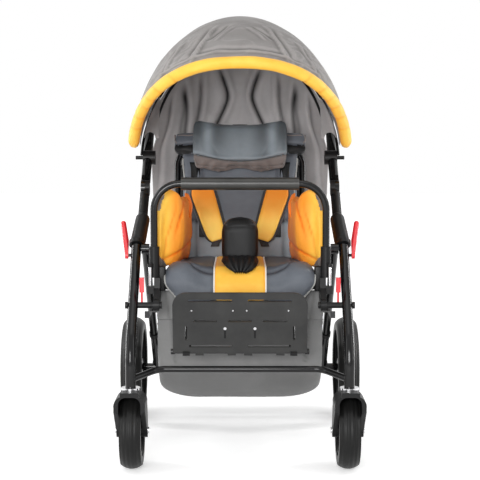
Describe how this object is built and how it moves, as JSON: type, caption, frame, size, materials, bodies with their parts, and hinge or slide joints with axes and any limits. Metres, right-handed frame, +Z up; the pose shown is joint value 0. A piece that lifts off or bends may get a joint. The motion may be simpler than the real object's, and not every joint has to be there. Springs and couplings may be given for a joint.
{
  "type": "special needs buggy",
  "caption": "Folding special needs buggy with swivel front casters, a tilting padded seat, reclining back, headrest, harness, bumper bar, footplate, basket and a hooded canopy.",
  "frame": {"origin": "on the floor, under the middle of the bounding box", "axes": "+X to the right as seen from in front, +Y to the rear, towards the push grip, +Z up"},
  "size_m": [0.664, 0.8194, 1.125],
  "materials": {
    "frame_paint": "satin",
    "black_plastic": "matte",
    "bright_metal": "polished",
    "foam": "matte",
    "tyre": "matte",
    "grey_cloth": "woven",
    "slate_cloth": "woven",
    "orange_cloth": "woven",
    "black_cloth": "woven",
    "red_plastic": "gloss",
    "plate_plastic": "matte"
  },
  "bodies": {
    "front_frame": {"front_leg_left": "frame_paint", "front_leg_right": "frame_paint", "front_cross_tube": "frame_paint", "head_washers": "bright_metal", "knuckles": "black_plastic", "lower_uprights": "black_plastic", "tilt_bushes": "black_plastic", "tilt_bolts": "bright_metal", "basket": "grey_cloth"},
    "rear_frame": {"rear_leg_left": "frame_paint", "rear_leg_right": "frame_paint", "rear_axle": "frame_paint", "rear_leg_collars": "black_plastic"},
    "brake": {"brake_pedal": "black_plastic"},
    "rear_wheel_left": {"rear_tyre_left": "tyre", "rear_rim_left": "black_plastic"},
    "rear_wheel_right": {"rear_tyre_right": "tyre", "rear_rim_right": "black_plastic"},
    "caster_left": {"caster_fork_left": "black_plastic", "caster_axle_left": "bright_metal"},
    "caster_right": {"caster_fork_right": "black_plastic", "caster_axle_right": "bright_metal"},
    "caster_wheel_left": {"caster_tyre_left": "tyre", "caster_hub_left": "black_plastic"},
    "caster_wheel_right": {"caster_tyre_right": "tyre", "caster_hub_right": "black_plastic"},
    "handle_frame": {"push_handle": "frame_paint", "handle_grip": "foam", "canopy_hubs": "black_plastic", "rear_bow": "frame_paint", "canopy_rear_panel": "grey_cloth", "canopy_curtain": "grey_cloth"},
    "canopy_front": {"front_bow": "frame_paint", "canopy_front_panel": "grey_cloth", "canopy_rim": "orange_cloth"},
    "seat": {"seat_frame": "frame_paint", "seat_board": "black_plastic", "seat_cushion": "slate_cloth", "bumper_sockets": "black_plastic", "side_panel_left": "orange_cloth", "side_panel_right": "orange_cloth", "tilt_rods": "bright_metal", "footrest_hanger": "frame_paint"},
    "back": {"back_frame": "frame_paint", "back_board": "black_plastic", "back_cushion": "slate_cloth", "harness_pads": "orange_cloth", "harness_webbing": "black_cloth"},
    "headrest": {"headrest_pad": "slate_cloth", "headrest_stem": "frame_paint"},
    "bumper": {"bumper_bar": "frame_paint", "bumper_foam": "foam"},
    "pommel": {"pommel": "black_cloth", "pommel_stem": "frame_paint"},
    "footplate": {"footplate": "plate_plastic"},
    "fold_lever_left": {"fold_lever_left": "red_plastic"},
    "fold_lever_right": {"fold_lever_right": "red_plastic"},
    "tilt_pull_left": {"tilt_pull_left": "red_plastic"},
    "tilt_pull_right": {"tilt_pull_right": "red_plastic"}
  },
  "joints": [
    {"name": "caster_swivel_left", "type": "hinge", "parent": "front_frame", "child": "caster_left", "pos_m": [-0.261, -0.35725, 0.2053], "axis": [0, 0, 1], "continuous": true},
    {"name": "caster_spin_left", "type": "hinge", "parent": "caster_left", "child": "caster_wheel_left", "pos_m": [-0.261, -0.31725, 0.0925], "axis": [1, 0, 0], "continuous": true},
    {"name": "rear_spin_left", "type": "hinge", "parent": "rear_frame", "child": "rear_wheel_left", "pos_m": [-0.303, 0.26275, 0.1425], "axis": [1, 0, 0], "continuous": true},
    {"name": "caster_swivel_right", "type": "hinge", "parent": "front_frame", "child": "caster_right", "pos_m": [0.261, -0.35725, 0.2053], "axis": [0, 0, 1], "continuous": true},
    {"name": "caster_spin_right", "type": "hinge", "parent": "caster_right", "child": "caster_wheel_right", "pos_m": [0.261, -0.31725, 0.0925], "axis": [1, 0, 0], "continuous": true},
    {"name": "rear_spin_right", "type": "hinge", "parent": "rear_frame", "child": "rear_wheel_right", "pos_m": [0.303, 0.26275, 0.1425], "axis": [1, 0, 0], "continuous": true},
    {"name": "rear_fold", "type": "hinge", "parent": "front_frame", "child": "rear_frame", "pos_m": [0, -0.16433, 0.52], "axis": [1, 0, 0], "range_deg": [-36, 0]},
    {"name": "handle_tilt", "type": "hinge", "parent": "front_frame", "child": "handle_frame", "pos_m": [0, 0.00475, 0.666], "axis": [1, 0, 0], "range_deg": [-40, 0]},
    {"name": "canopy_fold", "type": "hinge", "parent": "handle_frame", "child": "canopy_front", "pos_m": [0, 0.10275, 0.74405], "axis": [1, 0, 0], "range_deg": [-37, 0]},
    {"name": "seat_tilt", "type": "hinge", "parent": "front_frame", "child": "seat", "pos_m": [0, -0.27657, 0.392], "axis": [-1, 0, 0], "range_deg": [0, 15]},
    {"name": "back_recline", "type": "hinge", "parent": "seat", "child": "back", "pos_m": [0, 0.09275, 0.44], "axis": [-1, 0, 0], "range_deg": [0, 35], "deforming": ["canopy_curtain"]},
    {"name": "headrest_slide", "type": "slide", "parent": "back", "child": "headrest", "axis": [0, 0.2588, 0.9659], "range_m": [0, 0.045]},
    {"name": "bumper_lift", "type": "slide", "parent": "seat", "child": "bumper", "axis": [0, 0, 1], "range_m": [0, 0.06]},
    {"name": "pommel_lift", "type": "slide", "parent": "seat", "child": "pommel", "axis": [0, 0, 1], "range_m": [0, 0.05]},
    {"name": "footplate_flip", "type": "hinge", "parent": "seat", "child": "footplate", "pos_m": [0, -0.29525, 0.281], "axis": [1, 0, 0], "range_deg": [0, 75]},
    {"name": "brake_press", "type": "hinge", "parent": "rear_frame", "child": "brake", "pos_m": [0, 0.26275, 0.1425], "axis": [-1, 0, 0], "range_deg": [0, 25]},
    {"name": "fold_lever_left", "type": "hinge", "parent": "front_frame", "child": "fold_lever_left", "pos_m": [-0.2835, -0.17748, 0.505], "axis": [1, 0, 0], "range_deg": [0, 50]},
    {"name": "fold_lever_right", "type": "hinge", "parent": "front_frame", "child": "fold_lever_right", "pos_m": [0.2835, -0.17748, 0.505], "axis": [1, 0, 0], "range_deg": [0, 50]},
    {"name": "tilt_pull_left", "type": "slide", "parent": "front_frame", "child": "tilt_pull_left", "axis": [0, 0, 1], "range_m": [0, 0.01]},
    {"name": "tilt_pull_right", "type": "slide", "parent": "front_frame", "child": "tilt_pull_right", "axis": [0, 0, 1], "range_m": [0, 0.01]}
  ]
}
